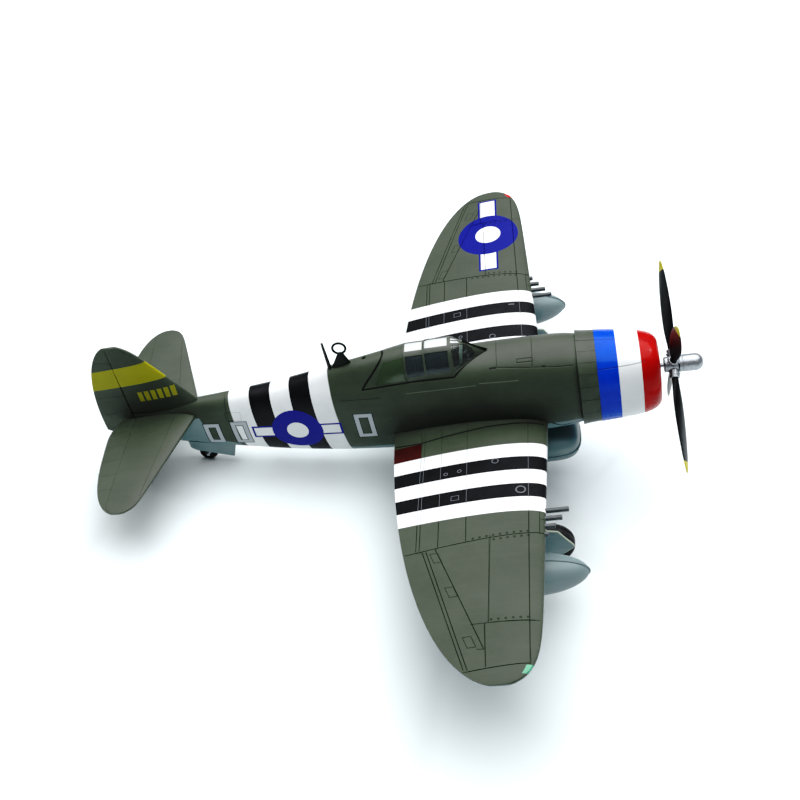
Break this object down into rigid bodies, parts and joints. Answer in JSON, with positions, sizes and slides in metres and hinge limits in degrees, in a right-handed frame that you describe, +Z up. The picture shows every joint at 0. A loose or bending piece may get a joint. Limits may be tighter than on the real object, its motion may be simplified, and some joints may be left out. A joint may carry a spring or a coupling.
{
  "type": "propeller plane model",
  "caption": "Scale model of a single-engined radial fighter with spinning propeller and free-rolling wheels, standing tail-down with drop tanks under the wings and belly.",
  "frame": {"origin": "centre of the whole model's box in plan, at the height of the surface it stands on", "axes": "+X towards the nose, +Y to port across the wings, +Z up, with the model resting tail-down on its three wheels"},
  "size_m": [0.1516, 0.172, 0.0597],
  "materials": {
    "olive_skin": "matt olive drab paint on moulded plastic",
    "grey_skin": "matt light blue-grey paint on moulded plastic",
    "cowl_paint": "glossy red, white and blue bands",
    "engine_grey": "satin dark grey",
    "brass_ring": "satin",
    "cockpit_green": "matt interior green",
    "black_trim": "satin black",
    "clear": "clear moulded plastic",
    "gunmetal": "satin gunmetal",
    "red_lens": "glossy red lens",
    "green_lens": "glossy green lens",
    "bare_metal": "satin silver",
    "tyre_rubber": "matt black rubber",
    "prop_black": "satin black with yellow tips"
  },
  "bodies": {
    "airframe": {"fuselage_left": "olive_skin", "fuselage_right": "olive_skin", "cowling": "cowl_paint", "cowl_flaps": "olive_skin", "firewall": "grey_skin", "crankcase": "engine_grey", "cylinders_front": "engine_grey", "cylinders_rear": "engine_grey", "ignition_ring": "brass_ring", "cockpit_tub": "cockpit_green", "seat": "black_trim", "head_armour": "cockpit_green", "instrument_panel": "black_trim", "control_stick": "black_trim", "gunsight": "black_trim", "windscreen_glass": "clear", "windscreen_frame": "olive_skin", "canopy_glass": "clear", "canopy_frame": "olive_skin", "rear_windows": "clear", "antenna_mast": "olive_skin", "loop_antenna": "black_trim", "wing_upper_left": "olive_skin", "wing_upper_right": "olive_skin", "wing_lower_left": "grey_skin", "wing_lower_right": "grey_skin", "gun_barrels_left": "gunmetal", "gun_barrels_right": "gunmetal", "tip_light_left": "red_lens", "tip_light_right": "green_lens", "tank_left_inner": "grey_skin", "tank_left_outer": "grey_skin", "tank_right_inner": "grey_skin", "tank_right_outer": "grey_skin", "pylon_left": "grey_skin", "pylon_right": "grey_skin", "belly_tank_upper": "grey_skin", "belly_tank_lower": "grey_skin", "strut_left": "bare_metal", "strut_right": "bare_metal", "gear_door_left": "grey_skin", "gear_door_right": "grey_skin", "tail_strut": "bare_metal", "tail_door_left": "grey_skin", "tail_door_right": "grey_skin", "stabilizer_left": "olive_skin", "stabilizer_right": "olive_skin", "fin": "olive_skin", "rudder": "olive_skin"},
    "propeller": {"prop_shaft": "bare_metal", "prop_hub": "bare_metal", "blade_1": "prop_black", "blade_2": "prop_black", "blade_3": "prop_black", "blade_4": "prop_black"},
    "wheel_left": {"hub_left": "bare_metal", "tyre_left": "tyre_rubber"},
    "wheel_right": {"hub_right": "bare_metal", "tyre_right": "tyre_rubber"},
    "wheel_tail": {"tail_wheel": "tyre_rubber"}
  },
  "joints": [
    {"name": "propeller_spin", "type": "hinge", "parent": "airframe", "child": "propeller", "pos_m": [0.06861, 0, 0.03681], "axis": [0.984, 0, 0.1779], "continuous": true},
    {"name": "left_wheel_spin", "type": "hinge", "parent": "airframe", "child": "wheel_left", "pos_m": [0.03984, 0.0315, 0.006], "axis": [0, 1, 0], "continuous": true},
    {"name": "right_wheel_spin", "type": "hinge", "parent": "airframe", "child": "wheel_right", "pos_m": [0.03984, -0.0315, 0.006], "axis": [0, 1, 0], "continuous": true},
    {"name": "tail_wheel_spin", "type": "hinge", "parent": "airframe", "child": "wheel_tail", "pos_m": [-0.04865, 0, 0.0025], "axis": [0, 1, 0], "continuous": true}
  ]
}
